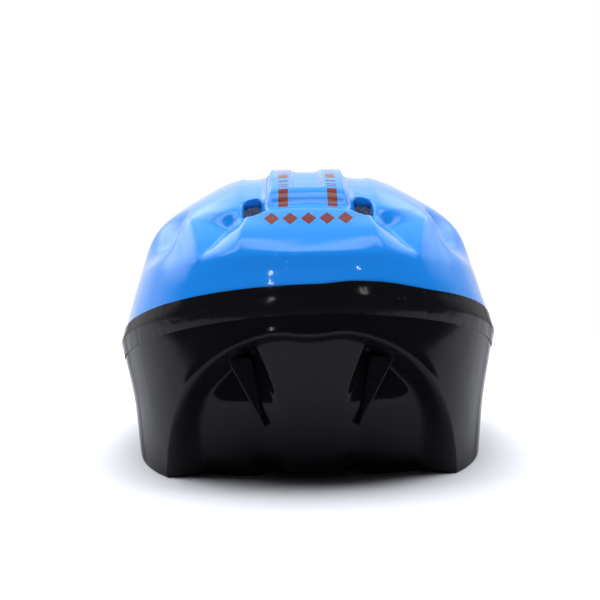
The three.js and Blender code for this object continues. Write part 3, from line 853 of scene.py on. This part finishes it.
# rings of the hollow from its mouth to its roof, with the same columns as those of the outer form
hollowRings = {
    "mouth": (0, 79, 99, 100, 0, 0, 0, 2.2),
    "lip": (20, 78.5, 98.5, 99.5, 14, 14, 14, 2.2),
    "temple": (56, 74.5, 94, 95, 50, 50, 50, 2.2),
    "vaultFoot": (98, 57, 73, 73, 88, 88, 88, 2.1),
    "vault": (136, 29, 38, 38, 110, 110, 110, 2),
    "roof": (170, 0, 0, 0, 116, 116, 116, 2),
}
foamCore = {
    "columns": 240, "crowding": 0.3,
    "hollowStops": (168, 20, 19, 0), "hollowCounts": (33, 1, 5),
    "bodyStops": (0, 46, 47, 201.5), "bodyCounts": (29, 1, 69),
    "roofZ": 116, "crownZ": 136,
    "clearance": 0.3, "gap": 1.2, "gapFrom": (-1, 8), "recessGap": 1.0,
    "recessFoot": (3, 12), "recessHead": (44, 50), "recessRear": (70, 95),
    "nearTurn": (-0.02, 0, 0.02), "nearUp": (-1.7, 0, 1.7), "nearTop": 0.1,  # where nearby relief is read
    "liftHalf": 50, "liftEdge": 14, "liftHeight": 3,
    "ventWider": 1.3, "ventAbove": 12, "ventReach": 75, "ventArcPoints": 13,
}


# slot that leans from above a vent into the hollow: a stadium outline carried along a straight path
def ventCutter(sideSign, endSign):
    shape = crownShape
    half = shape["ventWidth"] / 2 + foamCore["ventWider"]
    straight = (shape["ventLength"] - shape["ventWidth"]) / 2
    arc = np.linspace(0, np.pi, foamCore["ventArcPoints"])
    u = np.concatenate([half * np.cos(arc), -half * np.cos(arc)])
    v = np.concatenate([straight + half * np.sin(arc), -straight - half * np.sin(arc)])
    along, axis = slotAxes(endSign)
    outline = slotMiddle(sideSign, endSign) + v[:, None] * along
    outline[:, 0] += u
    above = foamCore["ventAbove"]
    rings = np.stack([outline + axis * (above - foamCore["ventReach"]), outline + axis * above])
    return makePiece("ventCutter", rings, tubeFaces(*rings.shape[:2]), smooth=False)


# outer side of the foam: the outer face moved in by the skin and a gap, and behind the recess the plain form
# moved in by the deepest relief near the point as well, so that the coarser grid stays behind the skin
def foamBody(turn, up):
    shape = foamCore
    gap = skins["thickness"] + shape["clearance"] + shape["gap"] * ramp(*shape["gapFrom"], up)
    face, plain = outerFace(turn, up), outerPlain(turn, up)
    out, plainOut = outward(outerFace, turn, up), outward(outerPlain, turn, up)
    out[0, :, 2] = 0
    body = face - out * gap[..., None]
    deepest = np.zeros(up.shape)
    for aside in shape["nearTurn"]:
        for above in shape["nearUp"]:
            near, level = turn + aside, np.clip(up + above, 0, ringUp["tapeFoot"] - shape["nearTop"])
            relief = ((outerPlain(near, level) - outerFace(near, level)) * plainOut).sum(-1)
            deepest = np.maximum(deepest, relief)
    behind = plain - plainOut * (deepest + gap + shape["recessGap"])[..., None]
    recess = ramp(*shape["recessFoot"], up) * (1 - ramp(*shape["recessHead"], up))
    recess = recess * ramp(*shape["recessRear"], -face[..., 1])
    return between(body, behind, recess[..., None])


# foam core: one closed grid from the roof of the hollow down to the rim and up under the skins to the crown,
# its rim lifted under the recess, with the vents cut through it
def makeFoam():
    shape = foamCore
    azimuth = crowdedTurn(shape["columns"], shape["crowding"])
    hollowSteps = rowsThrough(shape["hollowStops"], shape["hollowCounts"])
    bodySteps = rowsThrough(shape["bodyStops"], shape["bodyCounts"])
    up, turn = np.meshgrid(hollowSteps, azimuth, indexing="ij")
    hollow = plainForm(hollowRings, turn, up)
    up, turn = np.meshgrid(bodySteps, azimuth, indexing="ij")
    body = foamBody(turn, up)
    rim = body[0]
    lift = plateau(rim[:, 0], shape["liftHalf"], shape["liftEdge"]) * (rim[:, 1] < undercut["rearY"])
    rim[:, 2] += shape["liftHeight"] * lift
    hollow[-1, :, 2] = np.maximum(rim[:, 2], 0)
    poles = np.array([[0, 0, shape["roofZ"]], [0, 0, shape["crownZ"]]])
    points = np.vstack([np.concatenate([hollow, body]).reshape(-1, 3), poles])
    rows, columns = len(hollowSteps) + len(bodySteps), len(azimuth)
    count = rows * columns
    crownFan = poleFan(np.arange(count - columns, count), count + 1)
    roofFan = poleFan(np.arange(columns), count)[:, [1, 0, 2]]
    faces = gridFaces(rows, columns).tolist() + crownFan.tolist() + roofFan.tolist()
    piece = makePiece("foamCore", points, faces, makeFoamMaterial())
    cutters = [ventCutter(side, end) for side in (-1, 1) for end in (-1, 1)]
    for cutter in cutters:
        cut = piece.modifiers.new("vent", "BOOLEAN")
        cut.operation = "DIFFERENCE"
        cut.object = cutter
        cut.solver = "MANIFOLD"
    applyModifiers(piece)
    for cutter in cutters:
        bpy.data.objects.remove(cutter)
    settle(piece, "foam_liner")
    return piece


foam = makeFoam()
print("foam core:", len(foam.data.polygons), "faces")

floorSheet = {
    "left": -0.6, "right": 0.6, "near": -0.46, "far": 0.4, "colour": (0.88, 0.9, 0.97, 1),
    "surface": {"Roughness": 0.6, "Specular IOR Level": 0.1},
}


def makeFloor():  # one flat rectangle
    left, right, near, far = [floorSheet[name] for name in ("left", "right", "near", "far")]
    mesh = bpy.data.meshes.new("floor")
    mesh.from_pydata([(left, near, 0), (right, near, 0), (right, far, 0), (left, far, 0)], [], [(0, 1, 2, 3)])
    floor = addObject("floor", mesh)
    material = newMaterial("paleFloor")
    setInputs(principled(material), {"Base Color": floorSheet["colour"], **floorSheet["surface"]})
    mesh.materials.append(material)


# the tent that the gloss mirrors: a pale back that fades to dark towards the camera, a long glow overhead and
# a weaker one on each side; four values are the slopes, width or depth over height, at which a glow begins,
# is full, is still full and ends, and the lean and the gain make the left side brighter
tentLight = {
    "cameraSide": 0.01, "back": 0.9, "backFrom": (-0.1, 0.55), "leftGain": 0.28,
    "glow": 3.6, "glowDepth": (-0.1, 0.0, 0.14, 0.3), "glowWidth": (-1.2, -0.7, 0.5, 0.8),
    "sideGlow": 1.05, "sideDepth": (0.15, 0.5, 1.8, 3.2), "sideWidth": (0.3, 0.65, 2.4, 4.5), "sideLean": 0.3,
    "horizon": (0.05, 0.3), "leastHeight": 0.02,
}


def makeTent():
    tent = tentLight
    world = bpy.data.worlds.new("tent")
    scene.world = world
    world.use_nodes = True
    tree = world.node_tree
    background = tree.nodes["Background"]
    place = tree.nodes.new("ShaderNodeSeparateXYZ")
    tree.links.new(tree.nodes.new("ShaderNodeTexCoord").outputs["Generated"], place.inputs[0])
    x, y, z = [place.outputs[axis] for axis in "XYZ"]

    def times(a, b):
        return mathNode(tree, "MULTIPLY", a, b)

    def eased(value, low, high, start, end):
        node = tree.nodes.new("ShaderNodeMapRange")
        node.interpolation_type = "SMOOTHSTEP"
        setInputs(node, {"From Min": low, "From Max": high, "To Min": start, "To Max": end})
        tree.links.new(value, node.inputs["Value"])
        return node.outputs["Result"]

    def window(value, begin, full, still, end):
        return times(eased(value, begin, full, 0, 1), eased(value, still, end, 1, 0))

    def leftward(gain):  # one in the middle, more to the left by the gain
        return mathNode(tree, "MULTIPLY_ADD", x, -gain, 1.0)

    height = mathNode(tree, "MAXIMUM", z, tent["leastHeight"])
    depth, width = mathNode(tree, "DIVIDE", y, height), mathNode(tree, "DIVIDE", x, height)
    glow = times(window(depth, *tent["glowDepth"]), window(width, *tent["glowWidth"]))
    glow = times(glow, eased(z, *tent["horizon"], 0, tent["glow"]))
    aside = window(mathNode(tree, "ABSOLUTE", width), *tent["sideWidth"])
    aside = times(aside, window(depth, *tent["sideDepth"]))
    aside = times(aside, eased(z, *tent["horizon"], 0, tent["sideGlow"]))
    aside = times(aside, leftward(tent["sideLean"]))
    back = eased(y, *tent["backFrom"], tent["cameraSide"], tent["back"])
    around = mathNode(tree, "ADD", back, aside)
    around = mathNode(tree, "MULTIPLY_ADD", around, leftward(tent["leftGain"]), glow)
    seen = tree.nodes.new("ShaderNodeLightPath")
    level = mathNode(tree, "MAXIMUM", around, seen.outputs["Is Camera Ray"])  # plain white behind the helmet
    tree.links.new(level, background.inputs["Strength"])
    background.inputs["Color"].default_value = (1, 1, 1, 1)


# a soft lamp overhead for all, a fill for the blue skin alone, and two strips whose glints the helmet shows;
# a lamp that names no pieces lights everything
helmet = [topShell, lowerShell, seamTape, foam]
helmetMiddle = (0, -0.1, 0.1)
lamps = {
    "softLamp": {
        "place": (0.05, 0.5, 1.35), "aim": (0, 0.25, 0), "size": (1.8, 0.9), "energy": 28.0,
        "mirrored": False, "lit": [],
    },
    "fillLamp": {
        "place": (0, -1.7, 0.4), "aim": helmetMiddle, "size": (0.8, 0.3), "energy": 8.0,
        "mirrored": False, "lit": [topShell],
    },
    "leftStrip": {
        "place": (-0.3, -1.05, 0.26), "aim": helmetMiddle, "size": (0.01, 0.09), "energy": 0.2,
        "mirrored": True, "lit": helmet,
    },
    "rightStrip": {
        "place": (0.45, -0.95, 0.42), "aim": helmetMiddle, "size": (0.01, 0.09), "energy": 0.2,
        "mirrored": True, "lit": helmet,
    },
}


def makeLamp(name, lamp):
    data = bpy.data.lights.new(name, "AREA")
    data.shape = "RECTANGLE"
    data.size, data.size_y = lamp["size"]
    data.energy = lamp["energy"]
    light = addObject(name, data)
    light.visible_glossy = lamp["mirrored"]
    pointAt(light, lamp["place"], lamp["aim"])
    if lamp["lit"]:
        chosen = bpy.data.collections.new(name + "Lit")
        for piece in lamp["lit"]:
            chosen.objects.link(piece)
        light.light_linking.receiver_collection = chosen


makeFloor()
makeTent()
for name, lamp in lamps.items():
    makeLamp(name, lamp)
scene.view_settings.view_transform = "Standard"
print("floor and light set")
